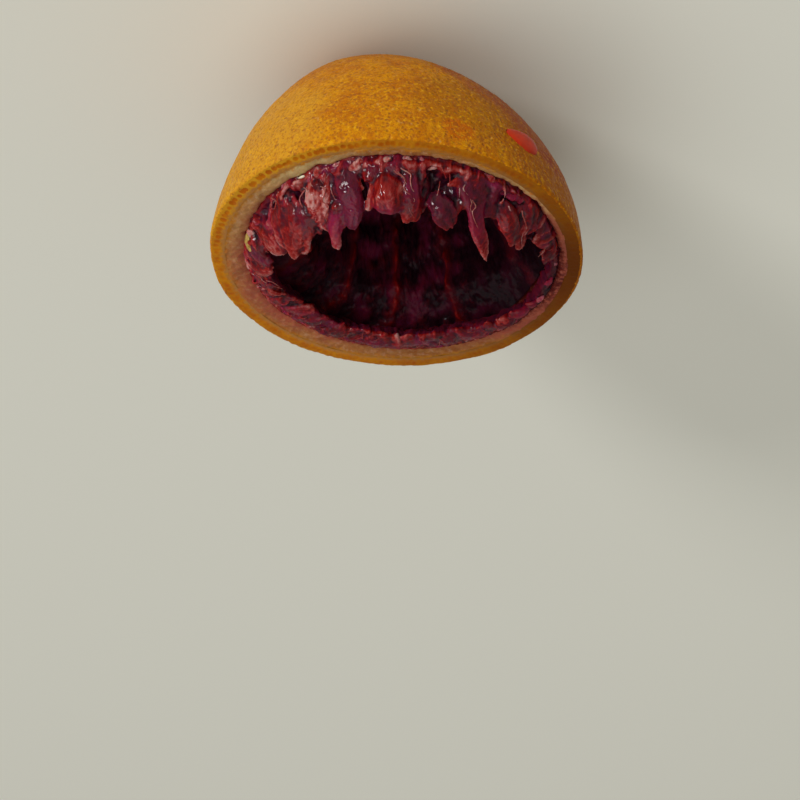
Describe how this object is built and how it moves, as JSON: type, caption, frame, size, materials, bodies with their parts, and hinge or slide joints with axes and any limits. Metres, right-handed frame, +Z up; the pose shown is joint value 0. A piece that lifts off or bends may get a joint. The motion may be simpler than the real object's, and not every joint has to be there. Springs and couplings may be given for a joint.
{
  "type": "blood orange half",
  "caption": "Juiced half of a blood orange, cut side up, with thick peel, a reamed hollow and torn dark red pulp standing at its mouth.",
  "frame": {"origin": "centre of the outline at the base, on the flat spot under the dome", "axes": "+Z up out of the cut side, -Y the front, where the longest torn pulp stands, +X the side that the pole leans to"},
  "size_m": [0.0702, 0.07, 0.051],
  "materials": {
    "fruit": "waxy, pitted orange peel outside; wet dark red pulp and pale stained pith inside"
  },
  "bodies": {
    "root": {"blood_orange_half": "fruit"}
  },
  "joints": []
}
